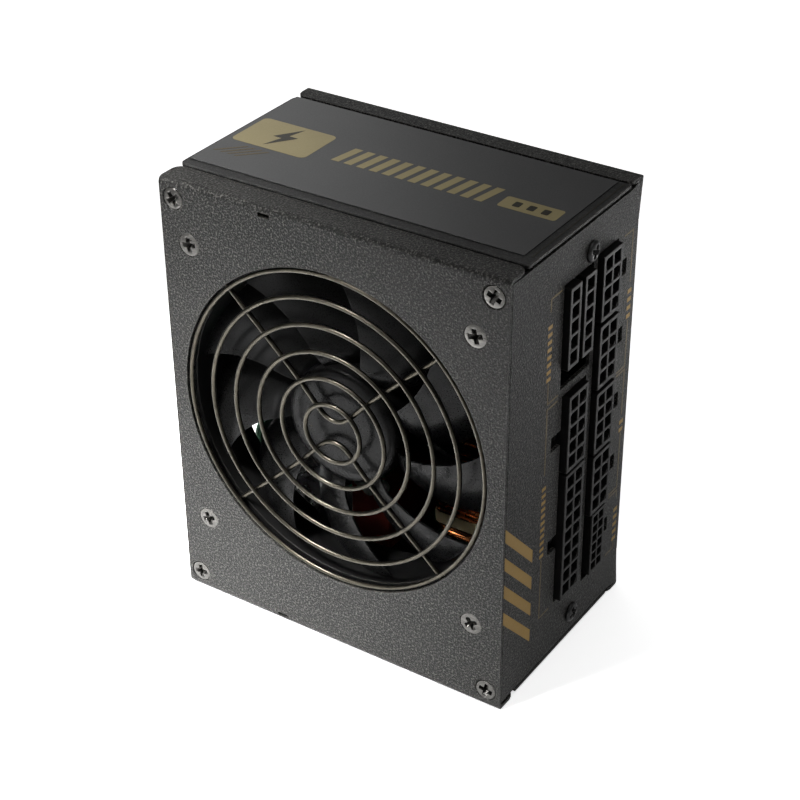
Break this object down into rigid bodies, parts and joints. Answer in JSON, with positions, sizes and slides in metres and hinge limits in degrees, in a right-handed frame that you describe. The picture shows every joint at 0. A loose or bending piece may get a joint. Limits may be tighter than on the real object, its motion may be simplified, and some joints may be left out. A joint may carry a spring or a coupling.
{
  "type": "power supply unit",
  "caption": "Compact modular computer power supply: black steel case, side fan behind a wire guard, socket wall, mains inlet with rocker switch.",
  "frame": {"origin": "middle of the box, on the surface that the unit stands on", "axes": "-Y fan side, +X socket wall, -X mains inlet, +Z long way up"},
  "size_m": [0.1056, 0.0636, 0.125],
  "materials": {
    "black_powder_coat": "fine matt black powder coat",
    "satin_label": "satin black film",
    "nickel_screw": "nickel plated",
    "black_screw": "black oxide",
    "nickel_wire": "satin nickel plate",
    "black_plastic": "matt black moulding",
    "satin_plastic": "satin black moulding",
    "ferrite": "dark grey ferrite",
    "steel": "ground steel",
    "brass": "plain",
    "copper_wire": "enamelled copper",
    "tinned_pin": "tinned",
    "green_board": "green solder mask",
    "grey_sheet": "plain",
    "black_sleeve": "shrink sleeve",
    "red_case": "red moulded case",
    "yellow_tape": "polyester tape",
    "aluminium": "plain",
    "ivory_plug": "natural nylon"
  },
  "bodies": {
    "case": {"case_base": "black_powder_coat", "fan_cover": "black_powder_coat", "side_panel_top": "black_powder_coat", "side_panel_bottom": "black_powder_coat", "side_label": "satin_label", "rating_label": "satin_label", "fan_screw_1": "nickel_screw", "fan_screw_2": "nickel_screw", "fan_screw_3": "nickel_screw", "fan_screw_4": "nickel_screw", "cover_screw_1": "nickel_screw", "cover_screw_2": "nickel_screw", "cover_screw_3": "nickel_screw", "cover_screw_4": "nickel_screw", "socket_wall_screw_1": "black_screw", "socket_wall_screw_2": "black_screw", "wire_guard": "nickel_wire", "fan_frame": "black_plastic", "fan_bearing": "brass", "fan_stator": "copper_wire", "drive_socket_1": "black_plastic", "drive_socket_2": "black_plastic", "board_socket_10": "black_plastic", "board_socket_18": "black_plastic", "processor_socket_1": "black_plastic", "processor_socket_2": "black_plastic", "processor_socket_3": "black_plastic", "processor_socket_4": "black_plastic", "graphics_socket": "black_plastic", "inlet_body": "black_plastic", "live_pin": "tinned_pin", "neutral_pin": "tinned_pin", "earth_pin": "tinned_pin", "switch_body": "black_plastic", "main_board": "green_board", "insulating_sheet": "grey_sheet", "modular_board": "green_board", "standoff_1": "brass", "standoff_2": "brass", "standoff_3": "brass", "standoff_4": "brass", "bulk_capacitor": "black_sleeve", "boost_choke": "copper_wire", "line_choke": "copper_wire", "film_capacitor": "red_case", "line_capacitor": "yellow_tape", "fuse": "steel", "bridge_rectifier": "black_plastic", "primary_heatsink": "aluminium", "secondary_heatsink": "aluminium", "transformer_core": "ferrite", "transformer_winding": "yellow_tape", "standby_transformer": "yellow_tape", "control_board": "green_board", "fan_lead": "black_sleeve", "fan_plug": "ivory_plug"},
    "rotor": {"fan_rotor": "satin_plastic", "fan_shaft": "steel", "rotor_magnet": "ferrite"},
    "rocker": {"switch_rocker": "satin_plastic"}
  },
  "joints": [
    {"name": "fan_spin", "type": "hinge", "parent": "case", "child": "rotor", "pos_m": [0.00097, -0.02, 0.0661], "axis": [0, -1, 0], "continuous": true},
    {"name": "switch_throw", "type": "hinge", "parent": "case", "child": "rocker", "pos_m": [-0.04643, 0.01, 0.07], "axis": [0, -1, 0], "range_deg": [0, 24]}
  ]
}
